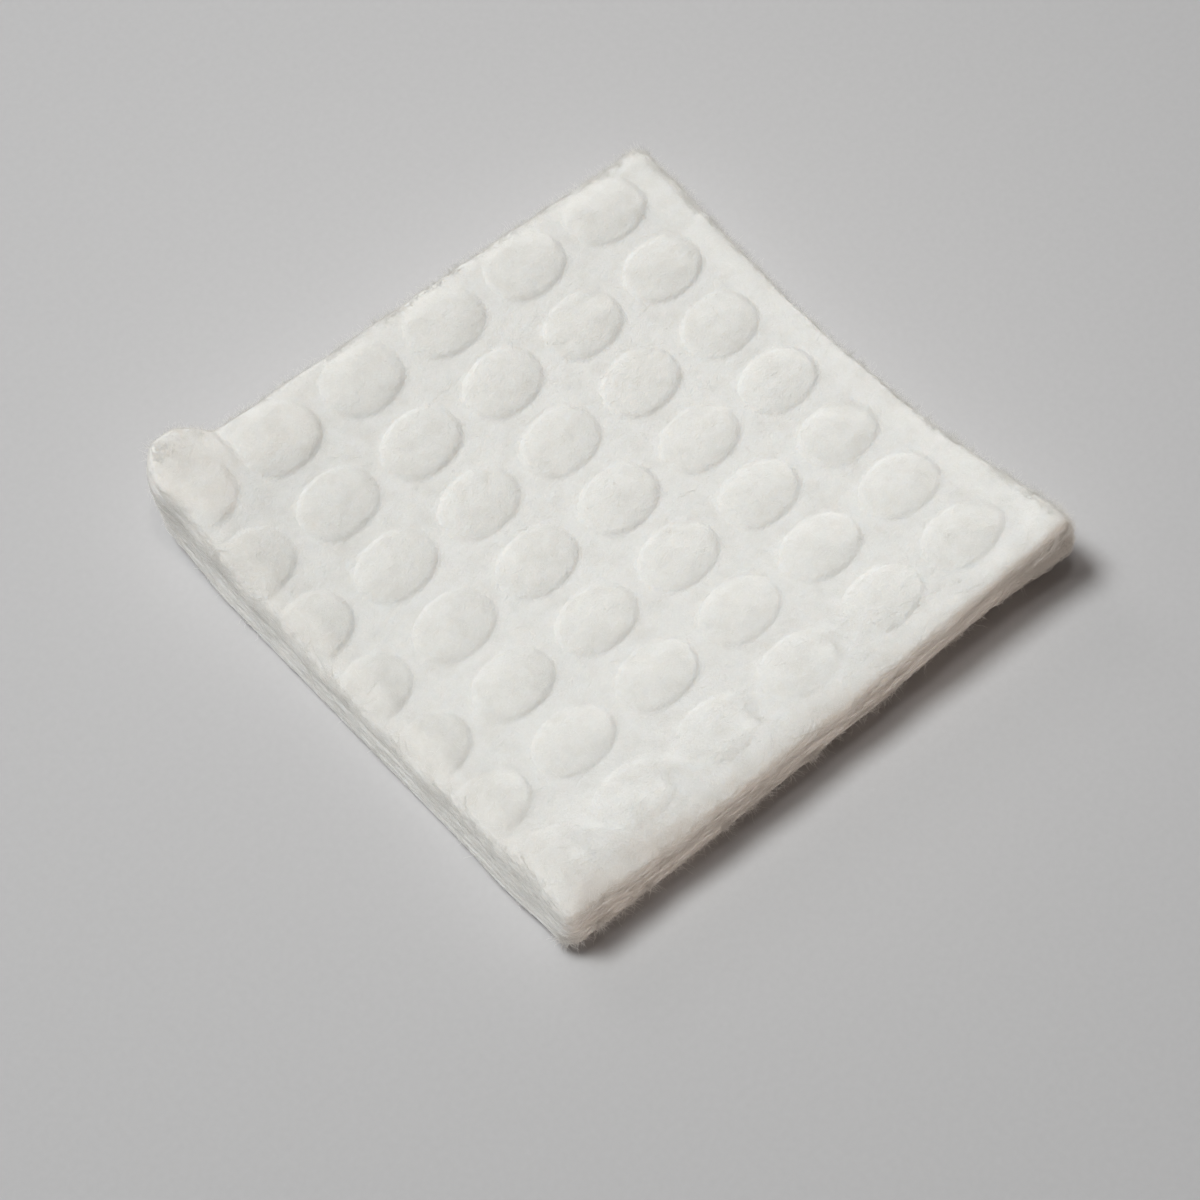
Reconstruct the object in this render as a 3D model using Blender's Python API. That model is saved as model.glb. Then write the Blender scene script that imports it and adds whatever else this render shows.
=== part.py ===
# A square cotton pad: thin cotton webs under a thick soft top layer, pressed together
# as one piece. Raised oval pillows stand in rows on its top face, its edges curl up off
# the surface that it lies on, and its corners are puffed. Metres, +Z up.
import math

import bmesh
import bpy
from mathutils import Matrix

mm = 0.001

# Size of the block as it was cut
pad_width = 60 * mm  # along X
pad_depth = 60 * mm  # along Y
corner_radius = 2.2 * mm

# Layers, from the underside up
web_count = 4
web_thickness = 0.8 * mm
web_groove = 0.3 * mm  # depth of the groove between two webs
top_layer_thickness = 1.8 * mm
rim_radius = 1.2 * mm  # round upper edge of the top layer

# Pillows embossed on the top face
pillow_width = 8.6 * mm  # along X
pillow_depth = 6.8 * mm  # along Y
pillow_height = 0.95 * mm
pillow_root = 0.7 * mm  # part of each pillow that is sunk in the top layer
pillow_turn = math.radians(6)
column_pitch = 10.12 * mm
row_pitch = 8.26 * mm
first_column_inset = 7.3 * mm  # from the +X edge to the first column's middle
first_row_inset = 4.25 * mm  # from the +Y edge to the first row's middle
row_drift = 0.18 * mm  # each column stands this much lower along Y than the one before
rim_clearance = 0.5 * mm  # a pillow that meets the edge is cut off this far inside it
edge_roll = 2.5 * mm  # over this distance from there a pillow rolls down to the rim
worn_row_height = 0.5 * mm  # the last row's pillows are rubbed flatter
cut_away_limit = 0.15  # a pillow is left out if less than this share of it is on the pad

# How the pad has curled and settled
middle_rise = -0.6 * mm  # the -X and +X edges of the top face against its middle
side_rise = 2.4 * mm  # the -Y and +Y edges of the top face against its middle
side_lift = 1.3 * mm  # the underside at the -Y and +Y edges, off the surface
flat_share = 0.35  # share of the depth, at the middle, that lies flat
bowed_edge = 1.2 * mm  # the +X edge curves in by this much
slack_edge = 0.4 * mm  # the -X edge curves in by this much
full_edge = 0.3 * mm  # the -Y edge curves out by this much
corner_rise = {"+X+Y": -1.5 * mm, "+X-Y": 2.1 * mm, "-X-Y": 1.8 * mm, "-X+Y": 3.2 * mm}
corner_lift = {"+X+Y": 0.0, "+X-Y": 0.6 * mm, "-X-Y": -0.6 * mm, "-X+Y": -0.1 * mm}
corner_pull_x = {"+X+Y": 0.2 * mm, "+X-Y": 0.7 * mm, "-X-Y": -0.9 * mm, "-X+Y": -0.1 * mm}
corner_pull_y = {"+X+Y": 0.2 * mm, "+X-Y": 0.9 * mm, "-X-Y": -0.3 * mm, "-X+Y": -0.2 * mm}
loose_corner_flare = 1.2 * mm  # the webs under the +X-Y corner splay out past the top layer

# Fineness of the mesh
corner_steps = 5
rim_steps = 3
pillow_sides = 20
pillow_steps = 4
grid_step = 5 * mm

pad_thickness = web_count * web_thickness + top_layer_thickness


def cap(value, low, high):
    return max(low, min(high, value))


def outline(outset):
    """Corner arcs of the rounded rectangle, counter-clockwise, grown by outset."""
    radius = corner_radius + outset
    points = []
    for turn, (side_x, side_y) in enumerate(((1, 1), (-1, 1), (-1, -1), (1, -1))):
        centre_x = side_x * (pad_width / 2 - corner_radius)
        centre_y = side_y * (pad_depth / 2 - corner_radius)
        for step in range(corner_steps + 1):
            angle = math.pi / 2 * (turn + step / corner_steps)
            points.append((centre_x + radius * math.cos(angle), centre_y + radius * math.sin(angle)))
    return points


def edge_profile():
    """Height and outset of the side, from the underside up to the top face."""
    rows = [(0.0, -web_groove)]
    for web in range(web_count):
        rows.append(((web + 0.5) * web_thickness, 0.0))
        rows.append(((web + 1) * web_thickness, -web_groove))
    for step in range(rim_steps + 1):
        angle = math.pi / 2 * step / rim_steps
        height = pad_thickness - rim_radius * (1 - math.sin(angle))
        rows.append((height, -rim_radius * (1 - math.cos(angle))))
    return rows


def extrude_face(bm, face, first):
    """Extrudes a face and returns the new one; only the first leaves its face as a base."""
    grown = bmesh.ops.extrude_face_region(bm, geom=[face])["geom"]
    if not first:
        bmesh.ops.delete(bm, geom=[face], context="FACES_ONLY")
    return next(part for part in grown if isinstance(part, bmesh.types.BMFace))


def stack_rings(bm, rows):
    """Extrudes one outline face upward through the rows of (height, outset)."""
    height, outset = rows[0]
    face = bm.faces.new([bm.verts.new((x, y, height)) for x, y in outline(outset)])
    for row, (height, outset) in enumerate(rows[1:]):
        face = extrude_face(bm, face, first=row == 0)
        for vert, (x, y) in zip(face.verts, outline(outset)):
            vert.co = (x, y, height)
    bmesh.ops.recalc_face_normals(bm, faces=bm.faces)


def corner_blend(values, across, along, power):
    """Blend of the four corners' values; a high power keeps each near its own corner."""
    total = 0.0
    for name, value in values.items():
        share_x = (1 + across) / 2 if "+X" in name else (1 - across) / 2
        share_y = (1 + along) / 2 if "+Y" in name else (1 - along) / 2
        total += value * (cap(share_x, 0, 1.05) * cap(share_y, 0, 1.05)) ** power
    return total


def top_height(x, y):
    across, along = x / (pad_width / 2), y / (pad_depth / 2)
    dish = middle_rise * across**2 + side_rise * along**2
    return pad_thickness + dish + corner_blend(corner_rise, across, along, 4)


def underside_height(x, y):
    across, along = x / (pad_width / 2), y / (pad_depth / 2)
    past_flat = cap((abs(along) - flat_share) / (1 - flat_share), 0, 1.2)
    return side_lift * past_flat**2 + past_flat * corner_blend(corner_lift, across, along, 4)


def cut_uneven(bm):
    """Bows the edges and pulls the corners in plan."""
    for vert in bm.verts:
        across, along = vert.co.x / (pad_width / 2), vert.co.y / (pad_depth / 2)
        depth = cap(vert.co.z / pad_thickness, 0, 1)
        at_plus_x = cap((1 + across) / 2, 0, 1.05) ** 12
        at_minus_x = cap((1 - across) / 2, 0, 1.05) ** 12
        at_minus_y = cap((1 - along) / 2, 0, 1.05) ** 12
        mid_x, mid_y = 1 - across**2, 1 - along**2
        flare = loose_corner_flare * (1 - depth) * (at_plus_x * at_minus_y)
        move_x = corner_blend(corner_pull_x, across, along, 1) + flare
        move_y = corner_blend(corner_pull_y, across, along, 1) - flare
        vert.co.x += move_x - bowed_edge * at_plus_x * mid_y + slack_edge * at_minus_x * mid_y
        vert.co.y += move_y - full_edge * at_minus_y * mid_x


def roll_share(x, y):
    """How much of a pillow's height is left at a place: none at the rim, all away from it."""
    from_edge = min(pad_width / 2 - abs(x), pad_depth / 2 - abs(y))
    return math.sin(math.pi / 2 * cap((from_edge - rim_clearance) / edge_roll, 0, 1))


def settle(bm):
    """Curls the flat block: its underside and top face follow their own heights."""
    for vert in bm.verts:
        low, high = underside_height(vert.co.x, vert.co.y), top_height(vert.co.x, vert.co.y)
        inside = cap(vert.co.z, 0, pad_thickness) / pad_thickness
        above = vert.co.z - inside * pad_thickness
        vert.co.z = low + inside * (high - low) + above * roll_share(vert.co.x, vert.co.y)


def cut_grid(bm):
    """Cuts the block along even lines both ways, so that it can bend."""
    for length, normal in ((pad_width, (1, 0, 0)), (pad_depth, (0, 1, 0))):
        cells = max(4, round(length / grid_step))
        for line in range(1, cells):
            place = length * (line / cells - 0.5)
            point = [place * part for part in normal]
            everything = bm.verts[:] + bm.edges[:] + bm.faces[:]
            bmesh.ops.bisect_plane(bm, geom=everything, plane_co=point, plane_no=normal, dist=1e-7)


def add_object(name, bm):
    mesh = bpy.data.meshes.new(name)
    bm.to_mesh(mesh)
    bm.free()
    made = bpy.data.objects.new(name, mesh)
    bpy.context.scene.collection.objects.link(made)
    return made


def make_block():
    bm = bmesh.new()
    stack_rings(bm, edge_profile())
    cut_grid(bm)
    cut_uneven(bm)
    settle(bm)
    bmesh.ops.triangulate(bm, faces=bm.faces)
    return add_object("cotton_pad", bm)


def make_trim_block():
    """The outline, inset and tall, that the pillows are kept inside."""
    bm = bmesh.new()
    reach = pad_thickness + side_rise + pillow_height + max(corner_rise.values())
    stack_rings(bm, [(-reach, -rim_clearance), (2 * reach, -rim_clearance)])
    cut_grid(bm)
    cut_uneven(bm)
    return add_object("pillow_trim", bm)


def pillow_profile(height):
    """Radius share and height of each ring: upright flanks under a gently crowned top."""
    rows = [(1.0, -pillow_root), (1.0, 0.0)]
    for step in range(1, pillow_steps):
        angle = math.pi / 2 * step / pillow_steps
        rows.append((math.cos(angle) ** 0.5, height * math.sin(angle)))
    return rows


def add_pillow(bm, x, y, height):
    rows = pillow_profile(height)
    made = bmesh.ops.create_circle(bm, cap_ends=True, radius=1.0, segments=pillow_sides)
    verts = made["verts"]
    face = verts[0].link_faces[0]
    rings = verts[:]
    bmesh.ops.scale(bm, vec=(pillow_width / 2, pillow_depth / 2, 1), verts=verts)
    bmesh.ops.translate(bm, vec=(0, 0, rows[0][1]), verts=verts)
    for ring, ((old_share, old_height), (share, new_height)) in enumerate(zip(rows, rows[1:])):
        face = extrude_face(bm, face, first=ring == 0)
        shrink = share / old_share
        bmesh.ops.scale(bm, vec=(shrink, shrink, 1), verts=face.verts)
        bmesh.ops.translate(bm, vec=(0, 0, new_height - old_height), verts=face.verts)
        rings += face.verts
    crown = bmesh.ops.poke(bm, faces=[face])["verts"]
    bmesh.ops.translate(bm, vec=(0, 0, height - rows[-1][1]), verts=crown)
    rings += crown
    place = Matrix.Translation((x, y, pad_thickness)) @ Matrix.Rotation(pillow_turn, 4, "Z")
    bmesh.ops.transform(bm, matrix=place, verts=rings)


def make_pillows():
    bm = bmesh.new()
    columns = int((pad_width - first_column_inset) / column_pitch) + 1
    rows = int((pad_depth - first_row_inset) / row_pitch) + 1
    for column in range(columns):
        x = pad_width / 2 - first_column_inset - column * column_pitch
        if x < -pad_width / 2 + (cut_away_limit - 0.5) * pillow_width:
            continue
        for row in range(rows):
            y = pad_depth / 2 - first_row_inset - row * row_pitch - column * row_drift
            if y < -pad_depth / 2 + (cut_away_limit - 0.5) * pillow_depth:
                continue
            add_pillow(bm, x, y, worn_row_height if row == rows - 1 else pillow_height)
    bmesh.ops.recalc_face_normals(bm, faces=bm.faces)
    settle(bm)
    bmesh.ops.triangulate(bm, faces=bm.faces)
    return add_object("pillows", bm)


def add_boolean(target, name, operation, tool):
    modifier = target.modifiers.new(name, "BOOLEAN")
    modifier.operation = operation
    modifier.solver = "EXACT"
    modifier.object = tool
    tool.hide_render = True
    tool.display_type = "WIRE"


def cotton():
    material = bpy.data.materials.new("cotton")
    material.use_nodes = True
    shader = material.node_tree.nodes["Principled BSDF"]
    shader.inputs["Base Color"].default_value = (0.83, 0.82, 0.78, 1)
    shader.inputs["Roughness"].default_value = 0.95
    shader.inputs["Metallic"].default_value = 0.0
    return material


def centre_on_origin(things):
    """Moves the pad and its tools together so that the pad's box stands over the origin."""
    places = [vert.co for vert in things[0].data.vertices]
    shift_x = -(min(p.x for p in places) + max(p.x for p in places)) / 2
    shift_y = -(min(p.y for p in places) + max(p.y for p in places)) / 2
    for thing in things:
        thing.data.transform(Matrix.Translation((shift_x, shift_y, 0)))


def main():
    for old in list(bpy.data.objects):
        bpy.data.objects.remove(old, do_unlink=True)
    pad = make_block()
    pillows = make_pillows()
    trim = make_trim_block()
    centre_on_origin([pad, pillows, trim])
    add_boolean(pillows, "keep_inside", "INTERSECT", trim)
    add_boolean(pad, "join_pillows", "UNION", pillows)
    pad.data.materials.append(cotton())


main()
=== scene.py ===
# Square cotton pad on a pale table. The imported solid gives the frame. The embossed face, the
# layered sides and the loose fibres are modelled over it.
import math

import bmesh
import bpy
import numpy as np
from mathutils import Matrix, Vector, noise
from mathutils.bvhtree import BVHTree


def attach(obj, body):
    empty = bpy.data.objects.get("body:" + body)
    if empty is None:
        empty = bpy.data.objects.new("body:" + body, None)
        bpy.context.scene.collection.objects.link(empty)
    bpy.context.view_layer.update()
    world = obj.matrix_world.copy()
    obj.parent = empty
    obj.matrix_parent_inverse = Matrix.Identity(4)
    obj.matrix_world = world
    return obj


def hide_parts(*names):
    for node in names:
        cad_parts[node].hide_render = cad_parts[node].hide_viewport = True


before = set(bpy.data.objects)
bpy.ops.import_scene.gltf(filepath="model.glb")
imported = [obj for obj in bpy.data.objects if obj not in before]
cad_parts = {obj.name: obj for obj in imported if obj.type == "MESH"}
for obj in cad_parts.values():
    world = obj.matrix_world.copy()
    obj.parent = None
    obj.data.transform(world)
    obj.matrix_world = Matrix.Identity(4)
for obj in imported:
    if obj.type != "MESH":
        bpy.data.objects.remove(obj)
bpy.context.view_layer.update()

mm = 0.001

# The pad is modelled flat and then curled. A corner is named by its two signs along X and Y.
pad = {
    "width": 60 * mm,
    "depth": 60 * mm,
    "thickness": 5.0 * mm,
    "cornerRadius": {(1, 1): 1.4 * mm, (1, -1): 1.1 * mm, (-1, -1): 1.3 * mm, (-1, 1): 2.6 * mm},
    "shift": (-0.22 * mm, 0.06 * mm),  # from the flat pad's middle to the middle of the solid's box
    "rimInset": 0.6 * mm,  # the rounded rim starts this far in from the outline
    "rimDrop": 0.8 * mm,
    "rimSteps": 5,
    "rimLumps": 0.22 * mm,
    "topLayer": 2.1 * mm,
    "layerLip": [(0.55 * mm, 0.02 * mm), (0.2 * mm, -0.1 * mm)],  # heights above its foot, outsets
    "webs": 4,
    "webSteps": 4,
    "webRound": 0.42,  # share of a web's thickness between its middle and its outermost rows
    "webGroove": 0.18 * mm,
    "footInset": 1.1 * mm,  # how far the lowest web's edge draws in underneath
    "footHeight": 0.55 * mm,  # and from what height
    "webRagged": 0.08 * mm,  # how unevenly the webs' edges stand out
    "rimRagged": 0.2 * mm,  # and the top layer's edge
    "spreadMinusX": 0.8 * mm,  # how far the lowest web stands out along the -X edge
    "spreadNear": (0.25 * mm, -23 * mm, 6 * mm),  # and there once more: how far, where and how wide
    "undercut": 0.8 * mm,  # how far the lowest web draws back along the -Y edge, most at its +X end
    "gape": 0.35 * mm,  # how much deeper the grooves are at the +X -Y corner
    "strands": 0.06 * mm,  # height of the strands that lie along the sides
    "cellSteps": 36,  # mesh squares across one pillow cell
    "heldRim": (0.3 * mm, 3.2 * mm),  # mesh points nearer the rim than this keep their places
    "faceNoise": 0.02 * mm,  # slow unevenness of the face
    "cardedNoise": 0.014 * mm,  # fine unevenness everywhere, at the rim and on the sides
    "rimNoise": 0.07 * mm,
    "wallNoise": 0.03 * mm,
    "curlX": -0.6 * mm,
    "curlY": 2.4 * mm,
    "liftY": 1.3 * mm,
    "flatShare": 0.35,
    "bowPlusX": 1.3 * mm,
    "growPlusX": 1.05 * mm,  # how far the whole +X edge stands out before it is bowed in
    "bowMinusX": 0.2 * mm,
    "bowMinusY": 0.3 * mm,
    "cornerRise": {(1, 1): -1.5 * mm, (1, -1): 2.1 * mm, (-1, -1): 1.8 * mm, (-1, 1): 3.2 * mm},
    "cornerLift": {(1, 1): 0.0, (1, -1): 0.6 * mm, (-1, -1): -0.6 * mm, (-1, 1): -0.1 * mm},
    "pullX": {(1, 1): -0.3 * mm, (1, -1): -0.55 * mm, (-1, -1): -0.8 * mm, (-1, 1): -0.1 * mm},
    "pullY": {(1, 1): 0.2 * mm, (1, -1): 0.4 * mm, (-1, -1): 0.0, (-1, 1): -0.2 * mm},
    # how far the webs stand out past the top layer at a corner, along X and Y, and over what length
    "flare": {(1, -1): (2.0 * mm, -0.4 * mm, 13 * mm), (-1, -1): (0.9 * mm, 0.2 * mm, 5 * mm)},
}

pillows = {
    "width": 8.6 * mm,
    "depth": 6.6 * mm,
    "square": 2.2,  # 2 is a true oval, and more is squarer
    "height": 0.5 * mm,
    "crown": 0.76,  # share of the height that is the round crown, above the steep flank
    "crownPower": 2.4,  # more is flatter on top
    "flank": 0.16,  # share of the radius that the flank takes
    "turn": math.radians(6),
    "columnPitch": 10.12 * mm,
    "rowPitch": 8.26 * mm,
    "firstColumn": 7.55 * mm,
    "firstRow": 4.0 * mm,
    "drift": 0.18 * mm,
    "footRing": 14,  # which of the mesh's square rings becomes a pillow's foot
    "flankRing": 8,  # and which the top of its flank
    "columns": 6,
    "rows": 7,
    "moat": 0.02 * mm,
    "moatWidth": 0.12,  # as a share of the radius
    "uneven": 0.12,  # how much the pillows differ in height
    "rollOff": (0.5 * mm, 2.2 * mm),  # no height this near the edge, and how soon it is full
    "lumps": 0.1 * mm,
    "lumpSizes": (2.1 * mm, 1.0 * mm),
    "wornShare": 0.58,
    "softFlank": 0.5,  # how much wider the flank is where a pillow is rubbed away
    "shadeFrom": 1.02,  # painted shade: a pillow is painted a little darker inside than the pressed cotton round it
    "shadeTo": 0.86,
}

# What the press and the handling left near the edges of the face.
edges = {
    "lipHeight": 0.45 * mm,  # puffed lip along the +X edge
    "lipFoot": 3.7 * mm,
    "lipTop": 1.6 * mm,
    # width and drop of the rounding along the -Y edge: at -X, in the middle and at +X
    "shoulderNear": (5.2 * mm, 2.0 * mm),
    "shoulderMiddle": (4.0 * mm, 0.9 * mm),
    "shoulderRight": (1.8 * mm, 0.35 * mm),
    "shoulderPlusX": (1.6 * mm, 0.5 * mm),
    "shoulderPlusY": (2.0 * mm, 0.4 * mm),
    "shoulderMinusX": (2.8 * mm, 1.0 * mm),
    "lobe": 2.1 * mm,  # how far the tuft at the -X +Y corner swells out
    "lobeLength": 7.0 * mm,
    "lobeAside": 0.5 * mm,  # how far it swells past the -X edge
    "lobeHeight": 0.35 * mm,
    "lobeSeam": (0.3 * mm, 0.7 * mm, 0.5 * mm),  # the dent beside it: depth, place and width
    # from where to where the last pillow row is rubbed, along Y and X, and round the -X -Y corner
    "rubbedY": (-19.5 * mm, -22.0 * mm),
    "rubbedX": (17 * mm, 4 * mm),
    "rubbedCorner": (14 * mm, 4 * mm),
    "cornerRub": 0.4,
    "wrinkle": 0.14 * mm,
    "wrinkleY": (-18 * mm, -26 * mm),
    "wrinkleX": (18 * mm, 6 * mm),
    "creaseDepth": [0.0, 0.06 * mm, 0.2 * mm, 0.28 * mm, 0.35 * mm, 0.35 * mm],  # by pillow column
    "creaseRidge": (0.45, 0.3 * mm, 0.6 * mm),  # its share of the depth, how far aside and how wide
    "creaseValley": (1.0, -1.3 * mm, 1.0 * mm),
    "creaseStart": (4.1 * mm, -22.6 * mm),  # from the column's middle, and along Y
    "creaseEnd": (8.4 * mm, -28.6 * mm),
}

# Where painted shade darkens the face's rounded shoulders: from none to full, from the edges or
# along X and Y.
paintedShade = {
    "near": (2.6 * mm, 0.1 * mm),  # from the -Y edge
    "nearX": (12 * mm, -2 * mm),
    "corner": (6 * mm, 1 * mm),  # from the -Y edge too, by the -X -Y corner
    "cornerX": (-8 * mm, -24 * mm),
    "left": (5.5 * mm, 1.5 * mm),  # from the -X edge
    "leftEnd": (5 * mm, 10 * mm),
    "weaker": 0.45,  # how dark the painted shade of the last two is, where the first is 1
    "wander": 0.5 * mm,  # how unevenly all three end
}

halfX, halfY = pad["width"] / 2, pad["depth"] / 2
gridX, gridY = halfX - pad["rimInset"], halfY - pad["rimInset"]
webThickness = (pad["thickness"] - pad["topLayer"]) / pad["webs"]


def clamp(value, low=0.0, high=1.0):
    return max(low, min(high, value))


# 0 at low and 1 at high, with a smooth change between; high may be the smaller of the two
def ease(low, high, value):
    t = clamp((value - low) / (high - low))
    return t * t * (3 - 2 * t)


# smooth noise from -1 to 1 whose lumps are about one size across
def grain(x, y, z, size, seed=0.0):
    return noise.noise(Vector((x / size + seed, y / size - seed, z / size + 2 * seed)))


# 1 at one corner and less away from it; across and along run from -1 to 1 over the pad
def cornerShare(side, across, along, power):
    share = clamp((1 + side[0] * across) / 2, 0, 1.05) * clamp((1 + side[1] * along) / 2, 0, 1.05)
    return share**power


def cornerMix(values, across, along, power):
    return sum(value * cornerShare(side, across, along, power) for side, value in values.items())


# mesh lines from low to high, with cellSteps of them in each pillow cell
def latticeLines(low, high, middle, pitch):
    seams = [middle + (k + 0.5) * pitch for k in range(-12, 13)]
    seams = [low] + [s for s in seams if low + pitch / 12 < s < high - pitch / 12] + [high]
    lines = [low]
    for a, b in zip(seams, seams[1:]):
        count = 2 * max(1, round((b - a) / pitch * pad["cellSteps"] / 2))
        lines += [a + (b - a) * (k + 1) / count for k in range(count)]
    return lines


# the column, the row and the middle of the pillow whose cell holds a place on the flat pad
def pillowMiddle(x, y):
    startX = halfX - pillows["firstColumn"]
    startY = halfY - pillows["firstRow"]
    column = int(clamp(round((startX - x) / pillows["columnPitch"]), 0, pillows["columns"] - 1))
    row = int(clamp(round((startY - y) / pillows["rowPitch"]), 0, pillows["rows"] - 1))
    return column, row, startX - column * pillows["columnPitch"], startY - row * pillows["rowPitch"]


# 1 on the pillow's outline, 0 in its middle
def pillowRadius(x, y, middleX, middleY):
    turn = pillows["turn"]
    dx, dy = x - middleX, y - middleY
    along = (dx * math.cos(turn) + dy * math.sin(turn)) / (pillows["width"] / 2)
    across = (dy * math.cos(turn) - dx * math.sin(turn)) / (pillows["depth"] / 2)
    power = pillows["square"]
    return (abs(along) ** power + abs(across) ** power) ** (1 / power)


# moves a mesh point so that the square rings of the mesh become rings of the pillow
def gatherRound(x, y):
    column, row, middleX, middleY = pillowMiddle(x, y)
    reachX, reachY = pillows["columnPitch"] / 2, pillows["rowPitch"] / 2
    u, v = (x - middleX) / reachX, (y - middleY) / reachY
    ring = max(abs(u), abs(v))
    if ring > 1 or ring < 1e-6:
        return x, y
    angle = math.atan2(v, u)
    turn = pillows["turn"]
    power = pillows["square"]
    swell = (abs(math.cos(angle)) ** power + abs(math.sin(angle)) ** power) ** (-1 / power)
    edgeX = swell * pillows["width"] / 2 * math.cos(angle)
    edgeY = swell * pillows["depth"] / 2 * math.sin(angle)
    ovalX = edgeX * math.cos(turn) - edgeY * math.sin(turn)
    ovalY = edgeX * math.sin(turn) + edgeY * math.cos(turn)
    rings = pad["cellSteps"] / 2
    footRing, flankRing = pillows["footRing"] / rings, pillows["flankRing"] / rings
    if ring <= flankRing:
        radius = ring / flankRing * (1 - pillows["flank"])
    elif ring <= footRing:
        radius = 1 - pillows["flank"] * (footRing - ring) / (footRing - flankRing)
    else:
        radius = 1
    outward = clamp((ring - footRing) / (1 - footRing))
    squareX, squareY = reachX * u / ring, reachY * v / ring
    newX = middleX + radius * ovalX * (1 - outward) + squareX * outward
    newY = middleY + radius * ovalY * (1 - outward) + squareY * outward
    held = ease(*pad["heldRim"], min(gridX - abs(x), gridY - abs(y)))
    return x + (newX - x) * held, y + (newY - y) * held


def cornerOf(x, y):
    return (1 if x > 0 else -1, 1 if y > 0 else -1)


# turns the mesh's square corners into arcs
def roundCorner(x, y):
    radius = pad["cornerRadius"][cornerOf(x, y)] - pad["rimInset"]
    pastX = (abs(x) - (gridX - radius)) / radius
    pastY = (abs(y) - (gridY - radius)) / radius
    if pastX <= 0 or pastY <= 0:
        return x, y
    shrink = max(pastX, pastY) / math.hypot(pastX, pastY)
    return (math.copysign(gridX - radius + pastX * shrink * radius, x),
            math.copysign(gridY - radius + pastY * shrink * radius, y))


# outward direction in plan at a point of the mesh's outline
def outwardAt(x, y):
    radius = pad["cornerRadius"][cornerOf(x, y)] - pad["rimInset"]
    pastX, pastY = abs(x) - (gridX - radius), abs(y) - (gridY - radius)
    if pastX > 0 and pastY > 0:
        length = math.hypot(pastX, pastY)
        return math.copysign(pastX / length, x), math.copysign(pastY / length, y)
    if gridX - abs(x) < gridY - abs(y):
        return math.copysign(1, x), 0.0
    return 0.0, math.copysign(1, y)


# rows of (height, outset, web) down the side: web 0 is the top layer and -1 a groove
def sideProfile():
    top = pad["thickness"]
    rows = []
    for step in range(1, pad["rimSteps"] + 1):
        angle = math.pi / 2 * step / pad["rimSteps"]
        drop = pad["rimDrop"] * (1 - math.cos(angle))
        rows.append((top - drop, -pad["rimInset"] * (1 - math.sin(angle)), 0))
    layerFloor = top - pad["topLayer"]
    rows += [(layerFloor + above, outset, 0) for above, outset in pad["layerLip"]]
    for web in range(1, pad["webs"] + 1):
        high = layerFloor - (web - 1) * webThickness
        rows.append((high, -pad["webGroove"], -1))
        for step in range(pad["webSteps"]):
            angle = math.pi * (step + 0.5) / pad["webSteps"]
            edge = webThickness - (pad["footHeight"] if web == pad["webs"] else 0)
            height = high - edge * (0.5 - pad["webRound"] * math.cos(angle))
            rows.append((height, -0.3 * pad["webGroove"] * (1 - math.sin(angle)), web))
    rows.append((0.6 * pad["footHeight"], -0.5 * pad["footInset"], pad["webs"]))
    rows.append((0.0, -pad["footInset"], pad["webs"]))
    return rows


# height share over a pillow: a round crown on a steep flank, and a moat round its foot
def pillowHeight(radius, flankShare):
    if radius >= 1:
        past = (radius - 1) / pillows["moatWidth"]
        return 0.0 if past > 1 else -math.sin(math.pi * past) * pillows["moat"] / pillows["height"]
    steep = clamp((1 - radius) / flankShare)
    flank = math.sin(math.pi / 2 * steep)
    crown = 1 - radius ** pillows["crownPower"]
    return (1 - pillows["crown"]) * flank + pillows["crown"] * crown


# how far the face has rounded down at a distance from its edge
def shoulderDrop(fromEdge, shoulder):
    width, drop = shoulder
    return drop * clamp(1 - max(0, fromEdge) / width) ** 2


# a rounded ridge across a line, given as its height, place and width
def bell(words, place):
    height, middle, width = words
    return height * math.exp(-((place - middle) / width) ** 2)


# slanting creases that the handling left between the pillows of the last row
def creases(x, y):
    height = 0.0
    startX, startY = edges["creaseStart"]
    endX, endY = edges["creaseEnd"]
    length = math.hypot(endX - startX, endY - startY)
    for column, depth in enumerate(edges["creaseDepth"]):
        fromX = x - (halfX - pillows["firstColumn"] - column * pillows["columnPitch"] + startX)
        fromY = y - startY
        forward = (fromX * (endX - startX) + fromY * (endY - startY)) / length
        aside = (fromX * (startY - endY) + fromY * (endX - startX)) / length
        if depth == 0 or abs(aside) > 4 * mm or not -3 * mm < forward < length + 3 * mm:
            continue
        ends = ease(-2 * mm, 1.5 * mm, forward)
        ends *= ease(length + 2.5 * mm, length - 0.5 * mm, forward)
        across = bell(edges["creaseRidge"], aside) - bell(edges["creaseValley"], aside)
        height += depth * ends * across
    return height


# the rubbed strip along the -Y edge
def foldRelief(x, y):
    strip = ease(*edges["wrinkleY"], y) * ease(*edges["wrinkleX"], x) * ease(0, 4 * mm, x + halfX)
    folds = grain(x + y, y - x, 0, 4.5 * mm, 7.7) + 0.5 * grain(x, y, 0, 2.0 * mm, 4.2)
    return strip * edges["wrinkle"] * folds + creases(x, y)


# how much of a pillow is left, less of it in the rubbed row and least by the -X -Y corner
def keptShare(x, y):
    rubbedAndShaded = ease(*edges["rubbedY"], y) * ease(*edges["rubbedX"], x)
    atCorner = ease(*edges["rubbedCorner"], math.hypot(x + halfX, y + halfY))
    return (1 - (1 - pillows["wornShare"]) * rubbedAndShaded) * (1 - edges["cornerRub"] * atCorner)


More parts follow.
